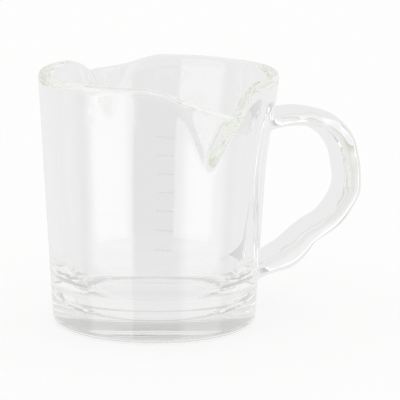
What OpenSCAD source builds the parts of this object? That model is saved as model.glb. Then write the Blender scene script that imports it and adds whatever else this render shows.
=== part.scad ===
// Clear glass measuring cup with two pouring spouts, a fused strap handle and a printed scale.
// Millimetres. Z is the axis of the cup and the foot stands on z = 0. The handle points along +X.
// The front spout points along -Y and the rear spout along +Y.

/* [Cup] */
// Height of the plain rim above the table
cup_height = 66; // [58:0.5:80]
// Outer radius of the tapered wall at the table
foot_radius = 26.4; // [24:0.1:30]
// Outer radius of the tapered wall carried up to the rim, without the flare
mouth_radius = 30.2; // [28:0.1:34]
// How much further the mouth flares than the straight taper
mouth_flare = 0.9; // [0:0.1:2]
// How far the hot mouth was drawn over towards the handle
mouth_draw = 1.05; // [0:0.05:1.6]
// Depth below the rim over which the flare and the draw build up
flare_depth = 26; // [20:0.5:30]
// Thickness of the side wall
wall = 3.2; // [2.4:0.1:4.2]

/* [Base] */
// Thickness of the heavy base under the floor of the cup
base_thickness = 4.5; // [3.4:0.1:8]
// Level extent of the oval round between the floor and the inner wall
floor_round = 12; // [4:0.5:14]
// Upright extent of that round
floor_rise = 17; // [4:0.5:18]
// Radius of the round edge of the foot
foot_round = 1.5; // [0.5:0.1:3]
// How far the flat ring that the cup stands on is proud of the underside
ring_height = 0.3; // [0.2:0.1:0.8]
// How far that ring stays in from the round edge
ring_inset = 1; // [0.5:0.1:3]
// Width of the ring
ring_width = 4.5; // [3:0.5:9]
// Rise of the shallow hollow inside the ring
foot_hollow = 0.9; // [0.4:0.1:2]

/* [Rim] */
// Height of the fire-polished round of the lip
lip_height = 3; // [1:0.1:3.6]
// Where the crest of the lip lies across the wall, from 0 outside to 1 inside
lip_crest = 0.32; // [0.2:0.02:0.6]

/* [Spouts] */
// Distance from the axis of the cup to the outside of the front spout's tip, under its lip
front_reach = 39.4; // [35:0.1:42]
// How far the rim dips at the front spout's tip
front_dip = 6.1; // [2:0.1:9]
// Angle over which the rim dips to the front spout, on the side away from the handle
front_spread_away = 36; // [26:1:44]
// Angle over which the rim dips to the front spout, on the handle's side
front_spread_near = 28; // [26:1:44]
// Distance from the axis of the cup to the outside of the rear spout's tip, under its lip
rear_reach = 35.9; // [33:0.1:40]
// How far the rim dips at the rear spout's tip
rear_dip = 4.8; // [2:0.1:9]
// Angle over which the rim dips to the rear spout, on the side away from the handle
rear_spread_away = 24; // [22:1:40]
// Angle over which the rim dips to the rear spout, on the handle's side
rear_spread_near = 30; // [22:1:40]
// Half of the angle between the two flanks of a spout
spout_half_angle = 30; // [28:1:38]
// Lean of a spout's keel outwards from upright
keel_lean = 43; // [36:1:48]
// Thickness of the glass in the flanks of a spout, at its tip
spout_wall = 2.2; // [1.8:0.1:3.2]
// Thickness of the glass in the flanks where the keel runs out into the wall
spout_foot_wall = 1.6; // [1.4:0.1:2.6]
// Radius of the nose where the two flanks meet
nose_radius = 1.6; // [0.8:0.1:3]
// Width over which the flanks flow into the round wall
flank_blend = 1.8; // [0.6:0.1:3.6]

/* [Handle] */
// Height at which the middle of the strap leaves the wall at the top
upper_root = 50.3; // [46:0.1:54]
// Climb of the strap where it leaves the wall at the top
upper_climb = 10.5; // [0:0.5:15]
// Distance from the axis of the cup to the middle of the strap at its furthest
handle_reach = 59.6; // [55:0.1:68]
// Height of that furthest point
bow_height = 30.9; // [28:0.1:36]
// Distance from the axis of the cup to the waist of the lower arm
waist_reach = 51.2; // [47:0.1:54]
// Height of the waist
waist_height = 21; // [17:0.1:24]
// Fall of the strap at its waist
waist_fall = 19; // [10:1:40]
// Height at which the middle of the strap meets the wall at the bottom
lower_root = 10.6; // [9:0.1:14]
// Fall of the strap where it meets the wall at the bottom
lower_fall = 8; // [0:1:15]
// Thickness of the strap, in the plane of its bow
strap_thickness = 5.3; // [4:0.1:6.4]
// Thickness of the strap at its waist
waist_thickness = 5.5; // [3.6:0.1:6]
// Extra thickness of the heel, pressed out between the waist and the lower root
heel_swell = 2.4; // [0:0.1:3]
// Length of strap to each side over which the waist and the heel fade out
hump_length = 5; // [3:0.5:7]
// Extra thickness of the strap's corner, between the top arm and the bow
corner_swell = 0.9; // [0:0.1:1.6]
// Length of strap to each side over which that corner fades out
corner_length = 8; // [4:0.5:12]
// Width of the strap across the bow
strap_width = 11.2; // [8:0.1:13]
// How many times wider and thicker the strap is where it is fused to the wall
root_spread = 1.25; // [1.1:0.05:1.6]
// Length of strap over which a fused root tapers off
root_length = 5; // [3:0.5:8]
// How deep a fused root is let into the wall
root_bite = 0.1; // [0.05:0.05:0.5]

/* [Scale] */
// Millilitres from one line of the scale to the next
scale_step = 10; // [8:0.5:11]
// Width of a scale line, measured up the wall
line_width = 0.4; // [0.3:0.05:0.8]
// Thickness of the fired enamel
line_thickness = 0.12; // [0.08:0.02:0.2]
// Clearance between the enamel and the glass under it
line_gap = 0.02; // [0.01:0.01:0.05]
// Length of a scale line round the wall
line_length = 5.1; // [4:0.1:8]
// Direction of the middle of the scale, from the handle towards the rear spout
scale_angle = 55; // [50:1:58]

/* [Hidden] */

// Columns of points round the cup, closer together at the spouts
columns = 104;
column_shift = 22;
// Rings of points up the flared wall, round the lip, round the floor and round the foot
wall_rings = 9;
lip_rings = 7;
floor_rings = 7;
edge_rings = 4;
// Points round the strap, rings along each stretch of it and rings across a fused root
strap_points = 24;
stretch_rings = 16;
root_rings = 3;
// How square the strap's section is: 2 is an ellipse, more is a rounded rectangle
strap_squareness = 2.8;
// Parts into which the cup's depth is cut to find its volume, and halvings to find a level
volume_parts = 40;
level_steps = 24;

flare_start = cup_height - flare_depth;

// The larger of two lengths with a round between them
function round_max(a, b, k) = max(a, b) + pow(max(0, 1 - abs(a - b) / k), 2) * k / 4;
function mix(a, b, t) = a + (b - a) * t;

// The plain wall: a straight taper, and a smooth rise of flare and draw towards the mouth
function rise(z) = let (t = max(0, min(1, (z - flare_start) / flare_depth))) t * t * (3 - 2 * t);
function wall_radius(z) =
    mix(foot_radius, mouth_radius, z / cup_height) + mouth_flare * rise(z);
function wall_shift(z) = mouth_draw * rise(z);

// The spout on the side that faces th, as [reach, dip, spread], and the angle from its axis
function spout_at(th) =
    sin(th) < 0
        ? [front_reach, front_dip, cos(th) < 0 ? front_spread_away : front_spread_near]
        : [rear_reach, rear_dip, cos(th) < 0 ? rear_spread_away : rear_spread_near];
function from_spout(th) = abs(abs(th > 180 ? th - 360 : th) - 90);

// The rim falls to the tip in a nearly straight ramp with a soft start
ramp_power = 1.3;
// Nearer to the axis than this many nose radii a keel is deep within the plain wall
least_keel = 4;
function rim_height(th) =
    let (spout = spout_at(th), share = max(0, 1 - from_spout(th) / spout[2]))
    cup_height - spout[1] * pow(share, ramp_power);

// Level section of a spout: two straight flanks and a round nose, for a sharp corner at keel
function vee(a, keel) =
    let (
        middle = keel - nose_radius / sin(spout_half_angle),
        nose_end = atan2(
            nose_radius * cos(spout_half_angle),
            middle + nose_radius * sin(spout_half_angle)
        )
    )
    a < nose_end
        ? middle * cos(a) + sqrt(pow(nose_radius, 2) - pow(middle * sin(a), 2))
        : keel * sin(spout_half_angle) / sin(min(90, spout_half_angle + a));
function flank_radius(th, z, inside) =
    let (
        spout = spout_at(th),
        below_tip = cup_height - spout[1] - lip_height - z,
        corner = spout[0] + nose_radius * (1 / sin(spout_half_angle) - 1),
        to_foot = max(0, min(1, below_tip * tan(keel_lean) / (corner - mouth_radius))),
        glass = inside ? mix(spout_wall, spout_foot_wall, to_foot) : 0,
        keel = corner - glass / sin(spout_half_angle) - below_tip * tan(keel_lean)
    )
    keel < least_keel * nose_radius ? 0 : vee(from_spout(th), keel);
function outer_radius(th, z) =
    round_max(wall_radius(z), flank_radius(th, z, false), flank_blend);
function inner_radius(th, z) =
    round_max(wall_radius(z) - wall, flank_radius(th, z, true), flank_blend);

// The round of the floor is a quarter of an ellipse that meets the leaning inner wall at a tangent
inner_slope = (mouth_radius - foot_radius) / cup_height;
floor_centre_z = base_thickness + floor_rise;
floor_centre_r =
    mix(foot_radius, mouth_radius, floor_centre_z / cup_height) - wall
    - norm([floor_round, inner_slope * floor_rise]);
function floor_point(a) =
    [floor_centre_r + floor_round * sin(a), floor_centre_z - floor_rise * cos(a)];
floor_sweep = atan2(floor_round, inner_slope * floor_rise);

// The round edge of the foot, which runs into the taper of the wall
edge_z = ring_height + foot_round;
edge_radius = wall_radius(edge_z) - foot_round;
function edge_point(a) = [edge_radius + foot_round * sin(a), edge_z - foot_round * cos(a)];

// One section through the glass, from the edge of the foot over the lip to the flat of the floor
function section(th) =
    let (rim = rim_height(th) - lip_height)
    concat(
        [for (i = [0:edge_rings]) edge_point(90 * i / edge_rings)],
        [
            for (i = [0:wall_rings])
            let (z = mix(flare_start, rim, i / wall_rings))
            [outer_radius(th, z), z]
        ],
        [
            for (i = [1:lip_rings])
            let (
                a = 180 * i / (lip_rings + 1),
                across = pow((1 - cos(a)) / 2, ln(lip_crest) / ln(0.5)),
                z = rim + lip_height * sin(a)
            )
            [mix(outer_radius(th, z), inner_radius(th, z), across), z]
        ],
        [
            for (i = [wall_rings:-1:0])
            let (z = mix(flare_start, rim, i / wall_rings))
            [inner_radius(th, z), z]
        ],
        [for (i = [floor_rings:-1:0]) floor_point(floor_sweep * i / floor_rings)]
    );
module shell() {
    angles = [
        for (i = [0:columns - 1])
        let (a = 360 * i / columns)
        a + column_shift * sin(2 * a)
    ];
    sections = [for (th = angles) section(th)];
    rings = len(sections[0]);
    skin = [
        for (i = [0:columns - 1])
        for (p = sections[i])
        [wall_shift(p[1]) + p[0] * cos(angles[i]), p[0] * sin(angles[i]), p[1]]
    ];
    under_middle = columns * rings;
    floor_middle = under_middle + 1;
    sides = [
        for (i = [0:columns - 1])
        for (j = [0:rings - 2])
        let (a = i * rings + j, b = ((i + 1) % columns) * rings + j)
        each [[a, a + 1, b + 1], [a, b + 1, b]]
    ];
    ends = [
        for (i = [0:columns - 1])
        let (a = i * rings, b = ((i + 1) % columns) * rings)
        each [[under_middle, a, b], [floor_middle, b + rings - 1, a + rings - 1]]
    ];
    points = concat(skin, [[0, 0, ring_height], [0, 0, base_thickness]]);
    polyhedron(points, concat(sides, ends), convexity = 6);
}

// The standing ring, and the shallow dome that hollows the underside within it
ring_outer = edge_radius - ring_inset;
ring_inner = ring_outer - ring_width;
dome_radius = (pow(ring_inner, 2) + pow(foot_hollow, 2)) / (2 * foot_hollow);
module dome() {
    rotate_extrude($fn = 180) intersection() {
        translate([0, foot_hollow - dome_radius]) circle(dome_radius, $fn = 720);
        translate([0, -foot_hollow]) square([ring_outer, 2 * foot_hollow]);
    }
}

module cup_body() {
    color("#eef3ef") difference() {
        union() {
            shell();
            cylinder(h = ring_height + foot_hollow, r = ring_outer, $fn = 180);
        }
        dome();
    }
}

// The strap's middle line: out of the wall, round the bow, in to the waist and down to the wall
upper_start = [wall_shift(upper_root) + wall_radius(upper_root), upper_root];
lower_end = [wall_radius(lower_root), lower_root];
bow = [handle_reach, bow_height];
waist = [waist_reach, waist_height];
// How far each pull reaches towards the next point: along the top arm, up and down from the
// bow, back from the waist, and both ways along the lower arm
pulls = [0.7, 0.86, 0.1, 0.69, 0.46, 0.83];
arm = handle_reach - upper_start[0];
lower_arm = waist_reach - lower_end[0];
into_waist = [-cos(waist_fall), -sin(waist_fall)];
stretches = [
    [
        upper_start,
        upper_start + pulls[0] * arm * [cos(upper_climb), sin(upper_climb)],
        bow + [0, pulls[1] * (upper_root - bow_height)],
        bow
    ],
    [
        bow,
        bow - [0, pulls[2] * (bow_height - waist_height)],
        waist - pulls[3] * (handle_reach - waist_reach) * into_waist,
        waist
    ],
    [
        waist,
        waist + pulls[4] * lower_arm * into_waist,
        lower_end + pulls[5] * lower_arm * [cos(lower_fall), sin(lower_fall)],
        lower_end
    ]
];
function bezier(c, t) =
    pow(1 - t, 3) * c[0] + 3 * t * pow(1 - t, 2) * c[1] + 3 * t * t * (1 - t) * c[2]
    + pow(t, 3) * c[3];
function bezier_way(c, t) =
    let (
        d = pow(1 - t, 2) * (c[1] - c[0]) + 2 * t * (1 - t) * (c[2] - c[1])
            + t * t * (c[3] - c[2])
    )
    d / norm(d);

// Each station is [place, direction, thickness, width]
function swelling(away) = 1 + (root_spread - 1) * pow(max(0, 1 - away / root_length), 2);
function hump(p, middle, length) = exp(-pow(norm(p - middle) / length, 2));
heel = (waist + lower_end) / 2;
corner_share = 0.6;
corner = bezier(stretches[0], corner_share);
stations = [
    for (s = [0:2])
    for (i = [(s == 0 ? 0 : 1):stretch_rings])
    let (
        p = bezier(stretches[s], i / stretch_rings),
        grow = swelling(min(norm(p - upper_start), norm(p - lower_end))),
        thick = mix(strap_thickness, waist_thickness, hump(p, waist, hump_length))
            + heel_swell * hump(p, heel, hump_length)
            + corner_swell * hump(p, corner, corner_length)
    )
    [p, bezier_way(stretches[s], i / stretch_rings), thick * grow, strap_width * grow]
];

function strap_round(a) =
    let (n = 2 / strap_squareness)
    [
        sign(cos(a)) * pow(abs(cos(a)), n) / 2,
        sign(sin(a)) * pow(abs(sin(a)), n) / 2
    ];
// The outer wall of the cup at a given place across and up, which a fused root lies on
function wall_x(y, z) = wall_shift(z) + sqrt(pow(wall_radius(z), 2) - y * y);
function strap_point(station, a) =
    let (q = strap_round(a), way = station[1])
    [
        station[0][0] - way[1] * q[0] * station[2],
        q[1] * station[3],
        station[0][1] + way[0] * q[0] * station[2]
    ];
function seated(p) = [wall_x(p[1], p[2]) - root_bite, p[1], p[2]];

module handle() {
    last = len(stations) - 1;
    turns = [for (k = [0:strap_points - 1]) 360 * k / strap_points];
    function shrunk(station, t) = [station[0], station[1], station[2] * t, station[3] * t];
    cap = [for (i = [1:root_rings]) i / (root_rings + 1)];
    rings = concat(
        [for (t = cap) [for (a = turns) seated(strap_point(shrunk(stations[0], t), a))]],
        [[for (a = turns) seated(strap_point(stations[0], a))]],
        [for (i = [1:last - 1]) [for (a = turns) strap_point(stations[i], a)]],
        [[for (a = turns) seated(strap_point(stations[last], a))]],
        [
            for (i = [root_rings - 1:-1:0])
            [for (a = turns) seated(strap_point(shrunk(stations[last], cap[i]), a))]
        ]
    );
    first_middle = len(rings) * strap_points;
    last_middle = first_middle + 1;
    points = concat(
        [for (r = rings) for (p = r) p],
        [
            seated([0, 0, stations[0][0][1]]),
            seated([0, 0, stations[last][0][1]])
        ]
    );
    sides = [
        for (i = [0:len(rings) - 2])
        for (k = [0:strap_points - 1])
        let (
            a = i * strap_points + k,
            b = i * strap_points + (k + 1) % strap_points
        )
        each [[a, b, b + strap_points], [a, b + strap_points, a + strap_points]]
    ];
    far = (len(rings) - 1) * strap_points;
    ends = [
        for (k = [0:strap_points - 1])
        let (k2 = (k + 1) % strap_points)
        each [[first_middle, k2, k], [last_middle, far + k, far + k2]]
    ];
    color("#e6ece8") polyhedron(points, concat(sides, ends), convexity = 6);
}

// Volume of the plain cavity up to a height, in millilitres, by strips of equal height
round_top = floor_centre_z - floor_rise * cos(floor_sweep);
function cavity_radius(z) =
    z > round_top
        ? wall_radius(z) - wall
        : floor_centre_r
            + floor_round * sqrt(1 - pow((floor_centre_z - z) / floor_rise, 2));
function sum_squares(z, h, i) =
    i < 0 ? 0 : pow(cavity_radius(z + h * (i + 0.5)), 2) + sum_squares(z, h, i - 1);
function volume_to(z) =
    let (h = (z - base_thickness) / volume_parts)
    PI * h * sum_squares(base_thickness, h, volume_parts - 1) / 1000;
function level_of(ml, low, high, n) =
    let (z = (low + high) / 2)
    n == 0 ? z : volume_to(z) < ml ? level_of(ml, z, high, n - 1) : level_of(ml, low, z, n - 1);

// A line of the scale: a thin strip of enamel on the outer wall at the liquid's level
module scale_line(i) {
    z = level_of(i * scale_step, base_thickness, cup_height, level_steps);
    low = z - line_width / 2;
    high = z + line_width / 2;
    sweep = line_length / wall_radius(z) * 180 / PI;
    color("white")
        translate([wall_shift(z), 0, 0])
        rotate([0, 0, scale_angle - sweep / 2])
        rotate_extrude(angle = sweep, $fn = 180)
        polygon([
            [wall_radius(low) + line_gap, low],
            [wall_radius(low) + line_gap + line_thickness, low],
            [wall_radius(high) + line_gap + line_thickness, high],
            [wall_radius(high) + line_gap, high]
        ]);
}
module line_10ml() { scale_line(1); }
module line_20ml() { scale_line(2); }
module line_30ml() { scale_line(3); }
module line_40ml() { scale_line(4); }
module line_50ml() { scale_line(5); }
module line_60ml() { scale_line(6); }
module line_70ml() { scale_line(7); }

cup_body();
handle();
line_10ml();
line_20ml();
line_30ml();
line_40ml();
line_50ml();
line_60ml();
line_70ml();
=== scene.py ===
import math

import bpy
import numpy as np
from mathutils import Matrix, Vector


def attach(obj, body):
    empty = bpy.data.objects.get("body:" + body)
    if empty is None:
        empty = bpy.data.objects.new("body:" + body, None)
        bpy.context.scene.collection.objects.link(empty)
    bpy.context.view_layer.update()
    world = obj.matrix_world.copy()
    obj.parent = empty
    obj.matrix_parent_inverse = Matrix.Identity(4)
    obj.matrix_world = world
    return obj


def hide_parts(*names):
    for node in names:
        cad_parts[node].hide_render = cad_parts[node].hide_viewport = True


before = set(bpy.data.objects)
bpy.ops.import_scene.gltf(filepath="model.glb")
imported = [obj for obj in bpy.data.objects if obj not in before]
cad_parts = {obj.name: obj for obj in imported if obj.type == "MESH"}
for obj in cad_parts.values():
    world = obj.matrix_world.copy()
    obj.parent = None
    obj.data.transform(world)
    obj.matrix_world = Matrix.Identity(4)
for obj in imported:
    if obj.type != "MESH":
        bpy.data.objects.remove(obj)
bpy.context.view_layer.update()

# A small clear glass measuring cup. The frame's CAD nodes give its place and size, and this script gives its
# looks. Lengths in the dictionaries are millimetres, where no other unit is named, and become metres once.

mm = 0.001
print("frame loaded:", sorted(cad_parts))


# Small helpers

def hexToLinear(code):
    # sRGB hex to linear light, one channel at a time
    channels = [int(code[i:i + 2], 16) / 255 for i in (1, 3, 5)]
    return [c / 12.92 if c <= 0.04045 else ((c + 0.055) / 1.055) ** 2.4 for c in channels] + [1.0]


def grey(value):
    return [value, value, value, 1.0]


def addNode(tree, kind, settings=None, sockets=None):
    # one node with its settings; a socket takes a value, or a link written as (node, output)
    node = tree.nodes.new(kind)
    for name, value in (settings or {}).items():
        setattr(node, name, value)
    for name, value in (sockets or {}).items():
        if isinstance(value, tuple) and isinstance(value[0], bpy.types.Node):
            tree.links.new(value[0].outputs[value[1]], node.inputs[name])
        else:
            node.inputs[name].default_value = value
    return node


def emptyMaterial(name):
    material = bpy.data.materials.new(name)
    material.use_nodes = True
    material.node_tree.nodes.clear()
    return material, material.node_tree


def mixLength(a, b, share):
    return a + (b - a) * share


def roundMax(a, b, width):
    # the larger of two lengths, with a round of the given width where they cross:
    # max(a, b) + (1 - |a - b| / width)^2 width / 4 as long as they differ by less than the width
    return np.maximum(a, b) + np.maximum(0, 1 - np.abs(a - b) / width) ** 2 * width / 4


def meshFromGrid(name, grid, poles):
    # grid is columns x rings x 3; columns run round the piece and rings along it.
    # poles are (ring, point): the first or last ring is closed by a fan to the point.
    columns, rings = grid.shape[:2]
    here = np.arange(columns * rings).reshape(columns, rings)
    beside = np.roll(here, -1, axis=0)
    quads = np.stack([here[:, :-1], beside[:, :-1], beside[:, 1:], here[:, 1:]], axis=-1)
    faces = quads.reshape(-1, 4).tolist()
    points = grid.reshape(-1, 3)
    for ring, point in poles:
        middle = np.full(columns, len(points))
        edge = [here[:, ring], beside[:, ring]]
        if ring == 0:
            edge.reverse()
        faces += np.stack([middle] + edge, axis=-1).tolist()
        points = np.vstack([points, point])
    mesh = bpy.data.meshes.new(name)
    mesh.from_pydata((points * mm).tolist(), [], faces)
    mesh.polygons.foreach_set("use_smooth", np.ones(len(mesh.polygons), bool))
    mesh.update()
    piece = bpy.data.objects.new(name, mesh)
    bpy.context.scene.collection.objects.link(piece)
    return piece


# The cup

cup = {
    # the whole: a cone that flares near its mouth and is drawn a little towards the handle there
    "height": 66, "footRadius": 26.4, "mouthRadius": 30.2, "flare": 0.9, "draw": 1.05, "flareDepth": 26,
    # the glass, and the oval round from its floor up to its wall
    "wall": 3.2, "base": 4.5, "floorRound": 12, "floorRise": 17,
    # the foot: its round edge, the low step in to the ring that it stands on, and the hollow within the ring
    "footRound": 1.5, "ringHeight": 0.3, "ringInset": 1, "ringWidth": 4.5, "hollow": 0.9,
    # how far the ring's edges are broken, how high the inner break is beside its width, and the space kept
    # between an edge and the rings of faces next to it
    "ringEase": 0.12, "innerEase": 0.25, "margin": 0.2, "stepMargin": 0.05,
    # the lip, and how far across the wall its crest lies, as a share from the outside
    "lipHeight": 3, "lipCrest": 0.32,
    # the spouts: how far out and how far down each tip is, and over how many degrees the rim falls to it, on
    # the side away from the handle and on the side near it
    "front": {"reach": 39.4, "dip": 6.1, "away": 36, "near": 28},
    "rear": {"reach": 35.9, "dip": 4.8, "away": 24, "near": 30},
    # degrees of half the angle between a spout's flanks, and of its keel's lean outwards
    "halfAngle": 30, "keelLean": 43,
    # a spout's glass at its top and its foot, its round nose, and how many nose radii its keel keeps from the
    # axis
    "spoutWall": 2.2, "spoutFootWall": 1.6, "noseRadius": 1.6, "keelLeast": 4,
    # the round where a spout meets the wall, and the power of the rim's fall
    "blend": 1.8, "ramp": 1.3,
    # columns of faces round the cup, and how many degrees they close up towards the spouts
    "columns": 660, "columnShift": 22,
    # rings of faces in each part of the section, and the shares of its radius between which a flat has them
    "hollowRings": 5, "edgeRings": 5, "standRings": 3, "footRings": 9, "coneRings": 5, "flareRings": 27,
    "lipRings": 32, "innerRings": 22, "lowerRings": 5, "roundRings": 28, "floorRings": 5,
    "hollowShares": (0.2, 1), "floorShares": (0.8, 0.1),
}
flareStart = cup["height"] - cup["flareDepth"]
edgeHeight = cup["ringHeight"] + cup["footRound"]
halfAngle = math.radians(cup["halfAngle"])


def rise(z):
    # smooth step from the start of the flare to the rim
    share = np.clip((z - flareStart) / cup["flareDepth"], 0, 1)
    return share * share * (3 - 2 * share)


def wallRadius(z):
    return mixLength(cup["footRadius"], cup["mouthRadius"], z / cup["height"]) + cup["flare"] * rise(z)


def wallShift(z):
    return cup["draw"] * rise(z)


def spoutValues(angle):
    # reach, dip and spread of the spout that each direction faces, and the angle from its axis, in degrees
    front, near = np.sin(angle) < 0, np.cos(angle) >= 0

    def pick(key):
        return np.where(front, cup["front"][key], cup["rear"][key])

    spread = np.where(near, pick("near"), pick("away"))
    turned = np.abs(np.abs((np.degrees(angle) + 180) % 360 - 180) - 90)
    return pick("reach"), pick("dip"), spread, turned


def rimHeight(angle):
    # the rim less a nearly straight ramp down to each tip: height - dip (1 - turned / spread)^ramp
    reach, dip, spread, turned = spoutValues(angle)
    return cup["height"] - dip * np.maximum(0, 1 - turned / spread) ** cup["ramp"]


def flankRadius(angle, z, inside):
    # Level section of a spout: two straight flanks with a round nose, on a keel that leans outwards. A flank
    # lies at keel sin(half) / sin(half + turned) from the axis, and the nose is a circle about middle.
    reach, dip, spread, turned = spoutValues(angle)
    turned, nose = np.radians(turned), cup["noseRadius"]
    drawnIn = (cup["height"] - dip - cup["lipHeight"] - z) * math.tan(math.radians(cup["keelLean"]))
    corner = reach + nose * (1 / math.sin(halfAngle) - 1)
    toFoot = np.clip(drawnIn / (corner - cup["mouthRadius"]), 0, 1)
    glass = mixLength(cup["spoutWall"], cup["spoutFootWall"], toFoot) if inside else 0
    keel = corner - glass / math.sin(halfAngle) - drawnIn
    middle = keel - nose / math.sin(halfAngle)
    noseEnd = np.arctan2(nose * math.cos(halfAngle), middle + nose * math.sin(halfAngle))
    onNose = middle * np.cos(turned) + np.sqrt(np.maximum(0, nose ** 2 - (middle * np.sin(turned)) ** 2))
    onFlank = keel * math.sin(halfAngle) / np.sin(np.minimum(math.pi / 2, halfAngle + turned))
    return np.where(keel < cup["keelLeast"] * nose, 0, np.where(turned < noseEnd, onNose, onFlank))


def outerRadius(angle, z):
    return roundMax(wallRadius(z), flankRadius(angle, z, False), cup["blend"])


def innerRadius(angle, z):
    return roundMax(wallRadius(z) - cup["wall"], flankRadius(angle, z, True), cup["blend"])


def footSection():
    # hollow, ring with two broken edges, low step and round edge, as (radius, height) from the axis outwards
    ease, margin, step = cup["ringEase"], cup["margin"], cup["stepMargin"]
    edgeRadius = wallRadius(edgeHeight) - cup["footRound"]
    ringOuter = edgeRadius - cup["ringInset"]
    ringInner = ringOuter - cup["ringWidth"]
    domeRadius = (ringInner ** 2 + cup["hollow"] ** 2) / (2 * cup["hollow"])
    under = np.linspace(*cup["hollowShares"], cup["hollowRings"]) * (ringInner - ease)
    quarter = np.radians(np.linspace(0, 90, cup["edgeRings"]))
    stand = np.linspace(ringInner + margin, ringOuter - ease - margin, cup["standRings"])
    turn = np.radians(np.linspace(0, 90, cup["footRings"]))
    return [
        (under, cup["hollow"] - domeRadius + np.sqrt(domeRadius ** 2 - under ** 2)),
        (ringInner - ease + ease * np.sin(quarter), ease * (1 - np.sin(quarter)) * cup["innerEase"]),
        (stand, np.zeros(cup["standRings"])),
        (ringOuter - ease + ease * np.sin(quarter), ease * (1 - np.cos(quarter))),
        (np.array([ringOuter, ringOuter + step, edgeRadius - margin]),
         cup["ringHeight"] - np.array([step, 0, 0])),
        (edgeRadius + cup["footRound"] * np.sin(turn), edgeHeight - cup["footRound"] * np.cos(turn)),
    ]


def wallSection(angle):
    # cone, flare, lip and inner wall, up from the foot and down again; above the cone the angle changes them
    cone = np.linspace(edgeHeight, flareStart, cup["coneRings"])[1:]
    top = rimHeight(angle) - cup["lipHeight"]
    flare = flareStart + (top - flareStart) * np.linspace(0, 1, cup["flareRings"])[None, 1:]
    # half a turn over the lip; the power brings its crest from the middle of the wall to lipCrest
    turn = np.radians(np.linspace(0, 180, cup["lipRings"]))[None, 1:-1]
    across = ((1 - np.cos(turn)) / 2) ** (math.log(cup["lipCrest"]) / math.log(0.5))
    lip = top + cup["lipHeight"] * np.sin(turn)
    inner = flareStart + (top - flareStart) * np.linspace(1, 0, cup["innerRings"])[None, :]
    return [
        (wallRadius(cone), cone),
        (outerRadius(angle, flare), flare),
        (mixLength(outerRadius(angle, lip), innerRadius(angle, lip), across), lip),
        (innerRadius(angle, inner), inner),
    ]


def floorSection():
    # the lower wall, the oval that touches it where both slope alike, and the flat floor
    wide, tall = cup["floorRound"], cup["floorRise"]
    slope = (cup["mouthRadius"] - cup["footRadius"]) / cup["height"]
    middle = cup["base"] + tall
    flat = (mixLength(cup["footRadius"], cup["mouthRadius"], middle / cup["height"])
            - cup["wall"] - math.hypot(wide, slope * tall))
    sweep = math.atan2(wide, tall * slope)
    lower = np.linspace(flareStart, middle - tall * math.cos(sweep), cup["lowerRings"])[1:-1]
    turn = np.linspace(sweep, 0, cup["roundRings"])
    floorRadii = flat * np.linspace(*cup["floorShares"], cup["floorRings"])
    return [
        (wallRadius(lower) - cup["wall"], lower),
        (flat + wide * np.sin(turn), middle - tall * np.cos(turn)),
        (floorRadii, np.full(cup["floorRings"], float(cup["base"]))),
    ]


def cupSkin():
    # One section (radius, height), which changes with the direction round the cup:
    # x = wallShift(height) + radius cos(angle), y = radius sin(angle), z = height
    even = np.arange(cup["columns"]) * 2 * math.pi / cup["columns"]
    angle = (even + math.radians(cup["columnShift"]) * np.sin(2 * even))[:, None]
    parts = []
    for radius, height in footSection() + wallSection(angle) + floorSection():
        shape = (cup["columns"], np.shape(radius)[-1])
        parts.append(np.stack([np.broadcast_to(radius, shape), np.broadcast_to(height, shape)], -1))
    section = np.concatenate(parts, axis=1)
    radius, height = section[..., 0], section[..., 1]
    grid = np.stack([wallShift(height) + radius * np.cos(angle), radius * np.sin(angle), height], -1)
    last = grid.shape[1] - 1
    return meshFromGrid("cupGlass", grid, [(0, [0, 0, cup["hollow"]]), (last, [0, 0, cup["base"]])])


cupGlass = cupSkin()
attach(cupGlass, "root")
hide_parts("cup_body")
print("cup:", len(cupGlass.data.polygons), "faces")


# The handle

handle = {
    # its path in the plane y = 0: heights of the two roots, and how far out and how high bow and waist are
    "upperRoot": 50.3, "lowerRoot": 10.6, "reach": 59.6, "bowHeight": 30.9,
    "waistReach": 51.2, "waistHeight": 21,
    # degrees by which it climbs from the upper root, falls into the waist and falls to the lower root
    "upperClimb": 10.5, "waistFall": 19, "lowerFall": 8,
    # how far each of its three curves runs straight on from its two ends, as shares of its spans
    "armPulls": (0.7, 0.86), "bowPulls": (0.1, 0.69), "lowerPulls": (0.46, 0.83),
    # its section: a rounded rectangle; a squareness of 2 would be an ellipse
    "width": 11.2, "squareness": 2.8, "thickness": 5.3,
    # the swells of its thickness at the waist, the heel below it and the corner of the top arm
    "waistThickness": 5.5, "heelSwell": 2.4, "humpLength": 5, "cornerSwell": 0.9, "cornerLength": 8,
    "cornerShare": 0.6,
    # its roots: how much they spread and over what length, how deep they lie in the wall, and the share of
    # the wall's thickness that counts as fused to them
    "rootSpread": 1.25, "rootLength": 5, "rootBite": 0.02, "fusedDepth": 0.6,
    # waves that its pulling left: share of the section, length, crests round it, and start of the sine
    "waves": ((0.016, 13.0, 1, 0.4), (0.011, 7.1, 2, 1.9), (0.006, 31.0, 9, 0.0)),
    # the smoothing of the path, points round the section, steps in each curve and rings along the whole strap
    "smoothing": 1.6, "points": 96, "curveSteps": 90, "rings": 300,
    # rings in each cap, and the smallest of them as a share of the root's outline
    "capRings": 8, "capLeast": 0.12,
}


def bezier(corners, share):
    # the cubic curve of four corners
    first, second, third, last = [np.array(corner, float) for corner in corners]
    t = share[:, None]
    return (1 - t) ** 3 * first + 3 * t * (1 - t) ** 2 * second + 3 * t ** 2 * (1 - t) * third + t ** 3 * last


def heading(degrees):
    # the way that climbs by so many degrees, as (x, z)
    return np.array([math.cos(math.radians(degrees)), math.sin(math.radians(degrees))])


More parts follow.
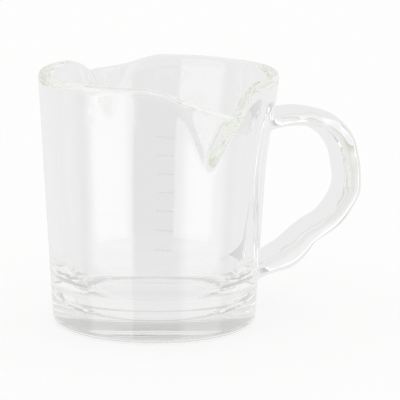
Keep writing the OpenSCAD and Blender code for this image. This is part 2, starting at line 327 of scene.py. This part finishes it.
def strapCurves():
    # corners of the three curves of the path, as (x, z): top arm, bow to waist, and lower arm
    start = np.array([wallShift(handle["upperRoot"]) + wallRadius(handle["upperRoot"]), handle["upperRoot"]])
    end = np.array([float(wallRadius(handle["lowerRoot"])), handle["lowerRoot"]])
    bow = np.array([handle["reach"], handle["bowHeight"]])
    waist = np.array([handle["waistReach"], handle["waistHeight"]])
    up = np.array([0.0, 1.0])
    outOfRoot, outOfEnd = heading(handle["upperClimb"]), heading(handle["lowerFall"])
    intoWaist = -heading(handle["waistFall"])
    arm, lowerArm = handle["reach"] - start[0], handle["waistReach"] - end[0]
    fromStart, aboveBow = handle["armPulls"]
    belowBow, aboveWaist = handle["bowPulls"]
    fromWaist, beforeEnd = handle["lowerPulls"]
    return [
        [start, start + fromStart * arm * outOfRoot,
         bow + up * aboveBow * (handle["upperRoot"] - handle["bowHeight"]), bow],
        [bow, bow - up * belowBow * (handle["bowHeight"] - handle["waistHeight"]),
         waist - aboveWaist * (handle["reach"] - handle["waistReach"]) * intoWaist, waist],
        [waist, waist + fromWaist * lowerArm * intoWaist, end + beforeEnd * lowerArm * outOfEnd, end],
    ]


def strapPath(curves):
    # places in even steps along the curves, the way that the path has there, and the length up to each
    share = np.linspace(0, 1, handle["curveSteps"])
    place = np.vstack([bezier(curves[0], share)] + [bezier(corners, share[1:]) for corners in curves[1:]])
    reached = np.concatenate([[0], np.cumsum(np.linalg.norm(np.diff(place, axis=0), axis=1))])
    along = np.linspace(0, reached[-1], handle["rings"])
    place = np.stack([np.interp(along, reached, place[:, k]) for k in (0, 1)], -1)
    # a short Gaussian, exp(-(length / smoothing)^2 / 2), which leaves the two ends where they are
    reach = int(3 * handle["smoothing"] / along[1])
    kernel = np.exp(-0.5 * (np.arange(-reach, reach + 1) * along[1] / handle["smoothing"]) ** 2)
    padded = np.vstack([2 * place[0] - place[reach:0:-1], place, 2 * place[-1] - place[-2:-reach - 2:-1]])
    place = np.stack([np.convolve(padded[:, k], kernel / kernel.sum(), "valid") for k in (0, 1)], -1)
    way = np.gradient(place, axis=0)
    return place, way / np.linalg.norm(way, axis=1)[:, None], along


def strapSize(curves, place):
    # thickness and width at each place, and the distance from there to the nearer root;
    # a swell is exp(-(distance / length)^2)
    start, waist, end = curves[0][0], curves[2][0], curves[2][3]
    corner = bezier(curves[0], np.array([handle["cornerShare"]]))[0]

    def hump(middle, length):
        return np.exp(-(np.linalg.norm(place - middle, axis=1) / length) ** 2)

    toRoot = np.minimum(np.linalg.norm(place - start, axis=1), np.linalg.norm(place - end, axis=1))
    grow = 1 + (handle["rootSpread"] - 1) * np.maximum(0, 1 - toRoot / handle["rootLength"]) ** 2
    thick = (mixLength(handle["thickness"], handle["waistThickness"], hump(waist, handle["humpLength"]))
             + handle["heelSwell"] * hump((waist + end) / 2, handle["humpLength"])
             + handle["cornerSwell"] * hump(corner, handle["cornerLength"]))
    return thick * grow, handle["width"] * grow, toRoot


def seat(points):
    # points moved level onto the outside of the wall:
    # x = wallShift(z) + sqrt(wallRadius(z)^2 - y^2) - rootBite
    y, z = points[..., 1], points[..., 2]
    return np.stack([wallShift(z) + np.sqrt(wallRadius(z) ** 2 - y ** 2) - handle["rootBite"], y, z], -1)


def handleSkin():
    # A rounded rectangle carried along the path, with a cap on the wall at each root:
    # |2 across|^squareness + |2 sideways|^squareness = 1
    curves = strapCurves()
    place, way, along = strapPath(curves)
    thick, wide, toRoot = strapSize(curves, place)
    around = np.arange(handle["points"]) * 2 * math.pi / handle["points"]
    power = 2 / handle["squareness"]
    across = (np.sign(np.cos(around)) * np.abs(np.cos(around)) ** power / 2)[:, None]
    sideways = (np.sign(np.sin(around)) * np.abs(np.sin(around)) ** power / 2)[:, None]

    def ringsAt(middle, ahead, thickness, width):
        # thickness and width are one value for each ring, or one for each point of each ring
        x = middle[:, 0] - ahead[:, 1] * across * thickness
        z = middle[:, 1] + ahead[:, 0] * across * thickness
        return np.stack([x, np.broadcast_to(sideways * width, x.shape), z], -1)

    def capAt(ring, shares):
        # the outline of a root, drawn in towards its middle by the shares
        ones = np.ones((len(shares), 1))
        return seat(ringsAt(place[ring] * ones, way[ring] * ones, thick[ring] * shares, wide[ring] * shares))

    # the pulled waves are shares of the section, which rise and fall along the strap and turn round it:
    # size (sin(2 pi along / length + crests around + phase) - 1), faded out towards the roots
    fade = np.clip(toRoot / handle["rootLength"], 0, 1) ** 2
    pulled = sum(size * (np.sin(2 * math.pi * along / length + crests * around[:, None] + phase) - 1)
                 for size, length, crests, phase in handle["waves"])
    strap = ringsAt(place, way, thick * (1 + fade * pulled), wide * (1 + fade * pulled))
    for end in (0, -1):
        strap[:, end] = seat(strap[:, end])
    shares = np.linspace(handle["capLeast"], 1, handle["capRings"])[:-1]
    grid = np.concatenate([capAt(0, shares), strap, capAt(-1, shares[::-1])], axis=1)
    last = grid.shape[1] - 1
    poles = [(ring, seat(np.array([0.0, 0.0, height])))
             for ring, height in ((0, handle["upperRoot"]), (last, handle["lowerRoot"]))]
    piece = meshFromGrid("handleGlass", grid, poles)
    # the faces of the two caps are marked, because the glass runs on into the wall there
    ring = np.tile(np.arange(last), handle["points"])
    onCap = (ring < len(shares)) | (ring >= last - len(shares))
    fused = np.concatenate([onCap, np.ones(2 * handle["points"], bool)]).astype(np.float32)
    piece.data.attributes.new("fused", "FLOAT", "FACE").data.foreach_set("value", fused)
    # height of each root, with half its width and half its height
    roots = []
    for height, ring in ((handle["upperRoot"], len(shares)), (handle["lowerRoot"], last - len(shares))):
        edge = grid[:, ring]
        roots.append((float(height), float(edge[:, 1].max()), float(edge[:, 2].max() - height)))
    return piece, roots


handleGlass, roots = handleSkin()
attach(handleGlass, "root")
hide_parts("handle")
print("handle:", len(handleGlass.data.polygons), "faces")


# The glass of both pieces

pressed = {
    "surface": "#ffffff", "roughness": 0.0, "ior": 1.5, "body": "#cdd6b4", "density": 1.2,
    "waveLength": 9.0, "waveStrength": 0.25, "waveDepth": 0.25, "waveDetail": 1.0, "waveRoughness": 0.4,
}
drawn = {**pressed, "waveLength": 5.0, "waveStrength": 0.5, "waveDepth": 0.3}


def fusedFaces(tree, place):
    # 1 on the faces that the handle's mesh marks as fused
    return addNode(tree, "ShaderNodeAttribute", {"attribute_name": "fused"}), "Fac"


def rootOutlines(tree, place):
    # 1 on the outside of the wall within the outlines of the two roots:
    # |y / wide|^squareness + |(z - height) / tall|^squareness < 1
    part = addNode(tree, "ShaderNodeSeparateXYZ", None, {0: (place, "Object")})
    marks = []
    for height, wide, tall in roots:
        powers = []
        for axis, middle, half in (("Y", 0, wide), ("Z", height, tall)):
            share = addNode(tree, "ShaderNodeMath", {"operation": "MULTIPLY_ADD"},
                            {0: (part, axis), 1: 1 / (half * mm), 2: -middle / half})
            size = addNode(tree, "ShaderNodeMath", {"operation": "ABSOLUTE"}, {0: (share, 0)})
            powers.append(addNode(tree, "ShaderNodeMath", {"operation": "POWER"},
                                  {0: (size, 0), 1: handle["squareness"]}))
        both = addNode(tree, "ShaderNodeMath", {"operation": "ADD"}, {0: (powers[0], 0), 1: (powers[1], 0)})
        within = addNode(tree, "ShaderNodeMath", {"operation": "LESS_THAN"}, {0: (both, 0), 1: 1.0})
        face = float(wallRadius(height) + wallShift(height) - cup["wall"] * handle["fusedDepth"])
        outward = addNode(tree, "ShaderNodeMath", {"operation": "GREATER_THAN"},
                          {0: (part, "X"), 1: face * mm})
        marks.append(addNode(tree, "ShaderNodeMath", {"operation": "MULTIPLY"},
                             {0: (within, 0), 1: (outward, 0)}))
    either = addNode(tree, "ShaderNodeMath", {"operation": "MAXIMUM"}, {0: (marks[0], 0), 1: (marks[1], 0)})
    return either, 0


def glassMaterial(name, values, seam):
    # Smooth glass with a faint body colour; the bump is the slow waviness that pressing or pulling leaves.
    # Where the strap is fused to the wall the index falls to that of no surface at all, so that no join
    # shows inside.
    material, tree = emptyMaterial(name)
    place = addNode(tree, "ShaderNodeTexCoord")
    wave = addNode(tree, "ShaderNodeTexNoise", {"noise_dimensions": "3D"},
                   {"Vector": (place, "Object"), "Scale": 1000 / values["waveLength"],
                    "Detail": values["waveDetail"], "Roughness": values["waveRoughness"]})
    bump = addNode(tree, "ShaderNodeBump", None,
                   {"Height": (wave, "Fac"), "Strength": values["waveStrength"],
                    "Distance": values["waveDepth"] * mm})
    index = addNode(tree, "ShaderNodeMath", {"operation": "MULTIPLY_ADD"},
                    {0: seam(tree, place), 1: 1 - values["ior"], 2: values["ior"]})
    glass = addNode(tree, "ShaderNodeBsdfPrincipled", None,
                    {"Base Color": hexToLinear(values["surface"]), "Roughness": values["roughness"],
                     "Transmission Weight": 1.0, "Normal": (bump, "Normal"), "IOR": (index, 0)})
    glass.inputs["IOR"].default_value = values["ior"]
    body = addNode(tree, "ShaderNodeVolumeAbsorption", None,
                   {"Color": hexToLinear(values["body"]), "Density": values["density"]})
    addNode(tree, "ShaderNodeOutputMaterial", None, {"Surface": (glass, "BSDF"), "Volume": (body, "Volume")})
    return material


# pressed soda-lime glass: clear, with a grey-green cast that shows only where the eye looks along it
pressedGlass = glassMaterial("pressedSodaLimeGlass", pressed, rootOutlines)
# hot-worked strap of the same glass: drawn by hand, so its waves are shorter and deeper
drawnGlass = glassMaterial("handDrawnSodaLimeGlass", drawn, fusedFaces)
cupGlass.data.materials.append(pressedGlass)
handleGlass.data.materials.append(drawnGlass)
print("glass set")


# The enamel of the scale

enamel = {
    # two tints, and the size of the grain between them
    "tints": ("#fcfcfa", "#ffffff"), "grain": 0.4, "grainDetail": 2.0,
    "roughness": 0.45, "ior": 1.5,
    # share that lets light through, on the face towards the glass and on the bare outer face
    "glow": 0.96, "bareGlow": 0.26,
}


def enamelMaterial():
    # Fired glass enamel, screen printed: a thin satin film, with a grain as fine as the mesh of the screen.
    # Light comes through it from the glass, so the lines are hardly darker than what stands round them.
    material, tree = emptyMaterial("firedWhiteEnamel")
    place = addNode(tree, "ShaderNodeTexCoord")
    grain = addNode(tree, "ShaderNodeTexNoise", {"noise_dimensions": "3D"},
                    {"Vector": (place, "Object"), "Scale": 1000 / enamel["grain"],
                     "Detail": enamel["grainDetail"]})
    first, second = [hexToLinear(code) for code in enamel["tints"]]
    tint = addNode(tree, "ShaderNodeMix", {"data_type": "RGBA"}, {0: (grain, "Fac"), 6: first, 7: second})
    paint = addNode(tree, "ShaderNodeBsdfPrincipled", None,
                    {"Base Color": (tint, 2), "Roughness": enamel["roughness"], "IOR": enamel["ior"]})
    glow = addNode(tree, "ShaderNodeBsdfTranslucent", None, {"Color": (tint, 2)})
    # a face is bare if it looks away from the cup's axis and is met from outside
    side = addNode(tree, "ShaderNodeNewGeometry")
    level = addNode(tree, "ShaderNodeVectorMath", {"operation": "MULTIPLY"},
                    {0: (place, "Object"), 1: (1, 1, 0)})
    outward = addNode(tree, "ShaderNodeVectorMath", {"operation": "DOT_PRODUCT"},
                      {0: (level, 0), 1: (place, "Normal")})
    outer = addNode(tree, "ShaderNodeMath", {"operation": "GREATER_THAN"}, {0: (outward, "Value"), 1: 0.0})
    bare = addNode(tree, "ShaderNodeMath", {"operation": "SUBTRACT", "use_clamp": True},
                   {0: (outer, 0), 1: (side, "Backfacing")})
    share = addNode(tree, "ShaderNodeMath", {"operation": "MULTIPLY_ADD"},
                    {0: (bare, 0), 1: enamel["bareGlow"] - enamel["glow"], 2: enamel["glow"]})
    thin = addNode(tree, "ShaderNodeMixShader", None, {0: (share, 0), 1: (paint, 0), 2: (glow, 0)})
    addNode(tree, "ShaderNodeOutputMaterial", None, {"Surface": (thin, 0)})
    return material


whiteEnamel = enamelMaterial()
for name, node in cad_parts.items():
    if name.startswith("line_"):
        node.data.materials.clear()
        node.data.materials.append(whiteEnamel)
print("enamel set")


# The floor

sweep = {
    # side in metres, colour, and the share of it that is plain white to the camera
    "size": 2.4, "paper": "#f7f7f5", "white": 0.8,
}


def paperMaterial():
    # Matt paper. The camera sees it mostly as plain white, so that the cup's faint shadow still shows on it,
    # and light that comes from the glass passes through it to the light tent.
    material, tree = emptyMaterial("paleSweep")
    path = addNode(tree, "ShaderNodeLightPath")
    seen = addNode(tree, "ShaderNodeMath", {"operation": "MULTIPLY"},
                   {0: (path, "Is Camera Ray"), 1: sweep["white"]})
    paper = addNode(tree, "ShaderNodeBsdfDiffuse", None, {"Color": hexToLinear(sweep["paper"])})
    white = addNode(tree, "ShaderNodeEmission", None, {"Color": grey(1.0), "Strength": 1.0})
    both = addNode(tree, "ShaderNodeMixShader", None, {0: (seen, 0), 1: (paper, 0), 2: (white, 0)})
    clear = addNode(tree, "ShaderNodeBsdfTransparent")
    shown = addNode(tree, "ShaderNodeMixShader", None,
                    {0: (path, "Is Glossy Ray"), 1: (both, 0), 2: (clear, 0)})
    addNode(tree, "ShaderNodeOutputMaterial", None, {"Surface": (shown, 0)})
    return material


def buildFloor():
    half = sweep["size"] / 2
    corners = [(-half, -half, 0), (half, -half, 0), (half, half, 0), (-half, half, 0)]
    mesh = bpy.data.meshes.new("floor")
    mesh.from_pydata(corners, [], [(0, 1, 2, 3)])
    mesh.materials.append(paperMaterial())
    floor = bpy.data.objects.new("floor", mesh)
    bpy.context.scene.collection.objects.link(floor)
    return floor


floor = buildFloor()


# The camera

camera = {
    # where it stands: degrees round the cup from the front spout, level distance from its axis, and height
    "azimuth": -29.0, "distance": 625.98, "height": 160.24,
    # degrees by which it is turned from straight at the axis: to the side, down, and about its own view
    "yaw": -1.0798, "pitch": 11.5642, "roll": 0.4678,
    # focal length in pixels of a frame so many pixels wide, and the sensor's width
    "focal": 2456.32, "frame": 400, "sensor": 36,
    # the nearest and farthest that it sees, in metres
    "clip": (0.01, 20),
}


def placeCamera():
    azimuth, turn = math.radians(camera["azimuth"]), math.radians(camera["azimuth"] + camera["yaw"])
    pitch, roll = math.radians(camera["pitch"]), math.radians(camera["roll"])
    away = camera["distance"]
    place = Vector((away * math.sin(azimuth), -away * math.cos(azimuth), camera["height"])) * mm
    look = Vector((-math.sin(turn) * math.cos(pitch), math.cos(turn) * math.cos(pitch), -math.sin(pitch)))
    level = Vector((math.cos(turn), math.sin(turn), 0))
    upright = level.cross(look)
    right = math.cos(roll) * level + math.sin(roll) * upright
    up = -math.sin(roll) * level + math.cos(roll) * upright
    lens = bpy.data.cameras.new("camera")
    lens.sensor_width = camera["sensor"]
    lens.lens = camera["focal"] / camera["frame"] * lens.sensor_width
    lens.clip_start, lens.clip_end = camera["clip"]
    eye = bpy.data.objects.new("camera", lens)
    bpy.context.scene.collection.objects.link(eye)
    turned = Matrix((right, up, -look)).transposed().to_4x4()
    turned.translation = place
    eye.matrix_world = turned
    bpy.context.scene.camera = eye


placeCamera()


# The light tent

tent = {
    # strengths of its parts: plain white behind, darker sides, bright strips, and the dark towards the camera
    "back": 0.85, "sides": 0.55, "strip": 1.6, "dark": 0.35,
    # where they stand: degrees in plan from the way to the camera, positive to the right of the view
    "stops": ((-180, "back"), (-100, "back"), (-80, "sides"), (-72, "strip"), (-25, "strip"), (-23, "dark"),
              (26, "dark"), (38, "strip"), (76, "strip"), (86, "sides"), (104, "back"), (180, "back")),
    # what lies beyond it, and the band over which each begins, as the z of a direction of length 1
    "foot": (-0.75, -0.45), "open": 0.84, "openFrom": (0.1, 0.3), "room": 0.63, "roomFrom": (0.11, 0.16),
    "ceiling": 0.84, "ceilingFrom": (0.75, 0.9), "deep": 0.95,
    # faces met, and faces mirrored off, past which light sees something else
    "afterMet": 3.5, "afterNone": 0.5, "afterFew": 2.5, "afterMany": 8.5,
    # the most faces that light may meet; it runs along the wall of the glass, so it needs many
    "bounces": 128,
}


def tentCurve(tree, place):
    # strength of the tent against the direction in plan: 0.5 is towards the camera, 0 and 1 straight away
    # from it
    turn = math.radians(camera["azimuth"])
    toCamera = (math.sin(turn), -math.cos(turn), 0)
    toRight = (math.cos(turn), math.sin(turn), 0)
    forward = addNode(tree, "ShaderNodeVectorMath", {"operation": "DOT_PRODUCT"},
                      {0: (place, "Generated"), 1: toCamera})
    sideways = addNode(tree, "ShaderNodeVectorMath", {"operation": "DOT_PRODUCT"},
                       {0: (place, "Generated"), 1: toRight})
    plan = addNode(tree, "ShaderNodeMath", {"operation": "ARCTAN2"},
                   {0: (sideways, "Value"), 1: (forward, "Value")})
    share = addNode(tree, "ShaderNodeMath", {"operation": "MULTIPLY_ADD"},
                    {0: (plan, 0), 1: 0.5 / math.pi, 2: 0.5})
    curve = addNode(tree, "ShaderNodeValToRGB", None, {"Fac": (share, 0)})
    elements = curve.color_ramp.elements
    while len(elements) < len(tent["stops"]):
        elements.new(0.5)
    for element, (degrees, part) in zip(elements, tent["stops"]):
        element.position = degrees / 360 + 0.5
        element.color = grey(tent[part])
    return curve, "Color"


def buildWorld():
    # Upright strips of soft light round the cup, dark towards the camera and white behind, as in a product
    # photographer's tent. Light that was mirrored in the glass sees the tent. What was mirrored more often
    # sees plain pale values, which stand for the room that thick rims and the base gather from all round.
    world = bpy.data.worlds.new("lightTent")
    bpy.context.scene.world = world
    world.use_nodes = True
    tree = world.node_tree
    tree.nodes.clear()
    place = addNode(tree, "ShaderNodeTexCoord")
    height = addNode(tree, "ShaderNodeSeparateXYZ", None, {0: (place, "Generated")})
    path = addNode(tree, "ShaderNodeLightPath")

    def blend(band, below, above):
        # one colour below a band of heights and another above it
        low, high = band
        share = addNode(tree, "ShaderNodeMapRange", {"interpolation_type": "SMOOTHSTEP"},
                        {"Value": (height, "Z"), "From Min": low, "From Max": high})
        return addNode(tree, "ShaderNodeMix", {"data_type": "RGBA"}, {0: (share, 0), 6: below, 7: above}), 2

    def after(count, limit, below, above):
        # one colour for light whose count of faces is below the limit and another for light past it
        past = addNode(tree, "ShaderNodeMath", {"operation": "GREATER_THAN"}, {0: (path, count), 1: limit})
        return addNode(tree, "ShaderNodeMix", {"data_type": "RGBA"}, {0: (past, 0), 6: below, 7: above}), 2

    strips = blend(tent["foot"], grey(tent["back"]), tentCurve(tree, place))
    # light that met few faces looks out over the strips through the tent's open top
    early = blend(tent["openFrom"], strips, grey(tent["open"]))
    # light that met more sees the room over them, and a deep white for them once it was mirrored a few times
    gathered = after("Glossy Depth", tent["afterFew"], strips, grey(tent["deep"]))
    late = blend(tent["roomFrom"], gathered, grey(tent["room"]))
    # the ceiling closes the top for both; the rims, which mirror light the most, see deep white all round
    walls = after("Ray Depth", tent["afterMet"], early, late)
    closed = blend(tent["ceilingFrom"], walls, grey(tent["ceiling"]))
    mirrored = after("Glossy Depth", tent["afterMany"], closed, grey(tent["deep"]))
    # light that was never mirrored sees the plain back from every side, so the glass is clear from there too
    around = after("Glossy Depth", tent["afterNone"], grey(tent["back"]), mirrored)
    # matt faces are lit by plain white, and the camera sees plain white past the floor
    matt = addNode(tree, "ShaderNodeMath", {"operation": "GREATER_THAN"},
                   {0: (path, "Diffuse Depth"), 1: tent["afterNone"]})
    shown = addNode(tree, "ShaderNodeMath", {"operation": "SUBTRACT", "use_clamp": True},
                    {0: (path, "Is Glossy Ray"), 1: (matt, 0)})
    seen = addNode(tree, "ShaderNodeMix", {"data_type": "RGBA"}, {0: (shown, 0), 6: grey(1.0), 7: around})
    sky = addNode(tree, "ShaderNodeBackground", None, {"Color": (seen, 2), "Strength": 1.0})
    addNode(tree, "ShaderNodeOutputWorld", None, {"Surface": (sky, 0)})


buildWorld()
paths = bpy.context.scene.cycles
paths.max_bounces = paths.glossy_bounces = paths.transmission_bounces = tent["bounces"]
bpy.context.scene.view_settings.view_transform = "Standard"
print("floor, camera and light set")
